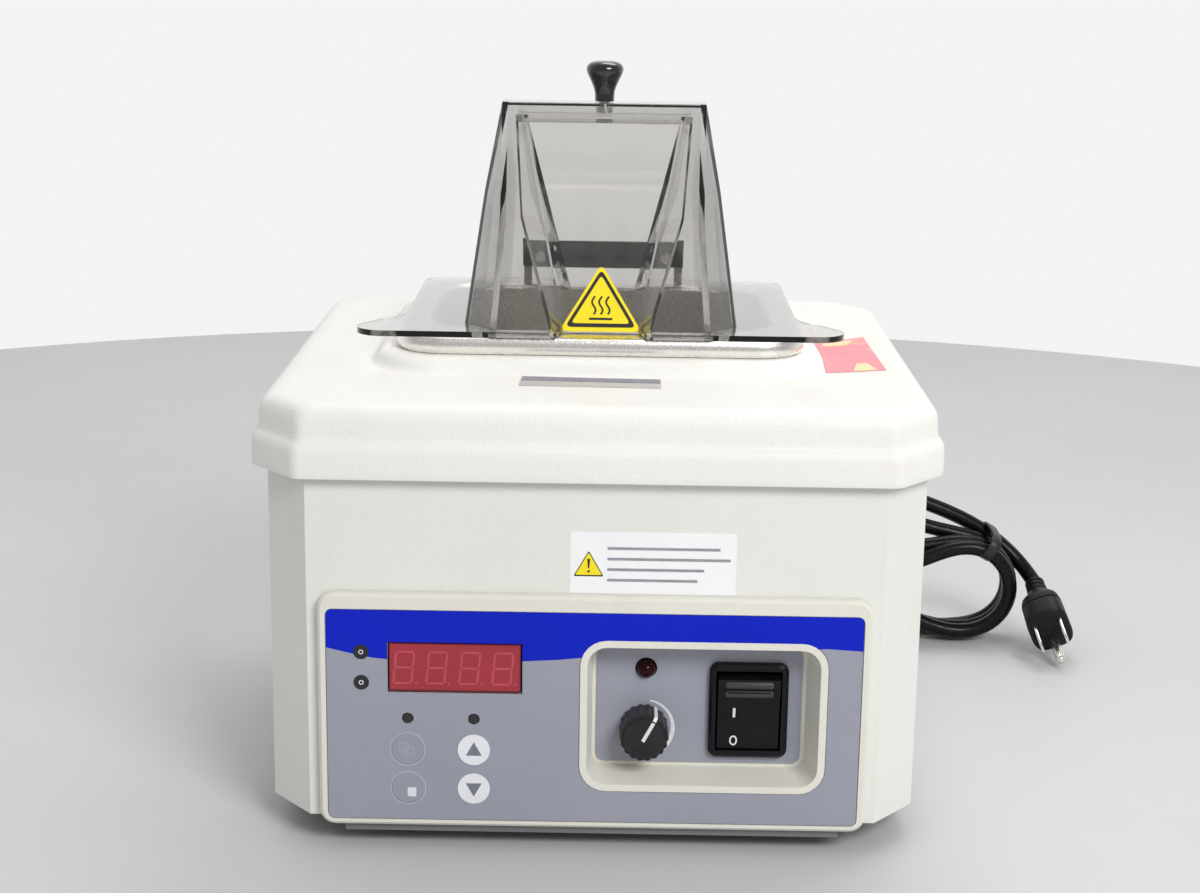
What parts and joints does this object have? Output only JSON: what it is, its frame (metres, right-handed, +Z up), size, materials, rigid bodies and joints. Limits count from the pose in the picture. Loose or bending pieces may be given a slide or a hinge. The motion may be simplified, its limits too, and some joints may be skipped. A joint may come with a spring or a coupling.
{
  "type": "laboratory water bath",
  "caption": "Compact bench water bath: octagonal white case, stainless tank, smoke-tinted gable lid on a rear hinge, front control panel with display, keys, knob and rocker, mains lead.",
  "frame": {"origin": "on the bench, below the middle of the case", "axes": "+Z up, +X to the operator's right, -Y towards the operator (front panel)"},
  "size_m": [0.3686, 0.3321, 0.2987],
  "materials": {
    "case_paint": "off-white paint with a fine texture",
    "cover_plastic": "warm white moulded plastic with a fine orange-peel grain",
    "base_paint": "off-white painted steel",
    "rubber_black": "black rubber",
    "gasket_rubber": "dark grey silicone rubber",
    "screw_steel": "plated steel",
    "tank_steel": "drawn stainless steel with a polished rolled rim",
    "tray_steel": "perforated stainless steel",
    "heater_silicone": "rust-red silicone heating pad",
    "clamp_aluminium": "mill-finish aluminium",
    "sensor_steel": "steel sheath",
    "lid_smoke": "smoke-tinted clear plastic",
    "knob_gloss": "glossy black phenolic",
    "hinge_black": "black satin plastic",
    "bezel_plastic": "off-white moulded plastic",
    "overlay_film": "printed polyester film, grey with a blue band",
    "key_grey": "grey printed key",
    "key_white": "white printed key with a grey arrow",
    "indicator_black": "unlit dark indicator lens",
    "display_red": "red filter over unlit digits",
    "module_red": "red display body",
    "board_green": "green circuit board",
    "knob_black": "black fluted plastic with a white pointer",
    "lamp_red": "dark red unlit lens",
    "rocker_black": "black satin plastic",
    "thermostat_steel": "plated steel",
    "copper": "copper capillary",
    "transformer_dark": "dark potted transformer",
    "heatsink_aluminium": "extruded aluminium",
    "terminal_green": "green terminal block",
    "cord_black": "black mains cord jacket",
    "plug_black": "black moulded plug with plated blades"
  },
  "bodies": {
    "case": {"base_plate": "base_paint", "bracket_screw_left": "screw_steel", "bracket_screw_right": "screw_steel", "case_shell": "case_paint", "celsius_indicator": "indicator_black", "control_bezel": "bezel_plastic", "control_board": "board_green", "cord_hank": "cord_black", "cord_lead": "cord_black", "cord_tail": "cord_black", "diffuser_tray": "tray_steel", "display_module": "module_red", "display_window": "display_red", "fahrenheit_indicator": "indicator_black", "foot_front_left": "rubber_black", "foot_front_right": "rubber_black", "foot_rear_left": "rubber_black", "foot_rear_right": "rubber_black", "foot_screw_front_left": "screw_steel", "foot_screw_front_right": "screw_steel", "foot_screw_rear_left": "screw_steel", "foot_screw_rear_right": "screw_steel", "heat_indicator": "indicator_black", "heat_sink": "heatsink_aluminium", "heater_clamp_plate": "clamp_aluminium", "heater_pad": "heater_silicone", "hinge_bracket": "screw_steel", "hinge_pin": "screw_steel", "panel_overlay": "overlay_film", "pocket_overlay": "overlay_film", "power_board": "board_green", "power_plug": "plug_black", "program_indicator": "indicator_black", "rim_gasket": "gasket_rubber", "rocker_housing": "rocker_black", "safety_lamp": "lamp_red", "strain_relief": "cord_black", "tank": "tank_steel", "temperature_sensor": "sensor_steel", "terminal_block": "terminal_green", "thermostat_body": "thermostat_steel", "thermostat_capillary": "copper", "top_cover": "cover_plastic", "transformer": "transformer_dark"},
    "lid": {"lid_hood": "lid_smoke", "lid_knob": "knob_gloss", "lid_knob_screw": "screw_steel", "hinge_leaf": "hinge_black", "leaf_screw_left": "screw_steel", "leaf_screw_right": "screw_steel"},
    "safety_control": {"safety_knob": "knob_black", "thermostat_shaft": "thermostat_steel"},
    "rocker": {"rocker_paddle": "rocker_black"},
    "menu_key": {"menu_button": "key_grey"},
    "set_key": {"set_button": "key_grey"},
    "up_key": {"up_button": "key_white"},
    "down_key": {"down_button": "key_white"}
  },
  "joints": [
    {"name": "lid_hinge", "type": "hinge", "parent": "case", "child": "lid", "pos_m": [0, 0.0865, 0.203], "axis": [-1, 0, 0], "range_deg": [0, 95]},
    {"name": "safety_knob_turn", "type": "hinge", "parent": "case", "child": "safety_control", "pos_m": [0.0198, -0.1281, 0.0478], "axis": [0, 1, 0], "range_deg": [-30, 240]},
    {"name": "rocker_tilt", "type": "hinge", "parent": "case", "child": "rocker", "pos_m": [0.0606, -0.1131, 0.0558], "axis": [-1, 0, 0], "range_deg": [0, 18]},
    {"name": "menu_press", "type": "slide", "parent": "case", "child": "menu_key", "axis": [0, 1, 0], "range_m": [0, 0.0005], "stiffness_N_per_m": 400, "springref_m": -0.001},
    {"name": "set_press", "type": "slide", "parent": "case", "child": "set_key", "axis": [0, 1, 0], "range_m": [0, 0.0005], "stiffness_N_per_m": 400, "springref_m": -0.001},
    {"name": "up_press", "type": "slide", "parent": "case", "child": "up_key", "axis": [0, 1, 0], "range_m": [0, 0.0005], "stiffness_N_per_m": 400, "springref_m": -0.001},
    {"name": "down_press", "type": "slide", "parent": "case", "child": "down_key", "axis": [0, 1, 0], "range_m": [0, 0.0005], "stiffness_N_per_m": 400, "springref_m": -0.001}
  ]
}
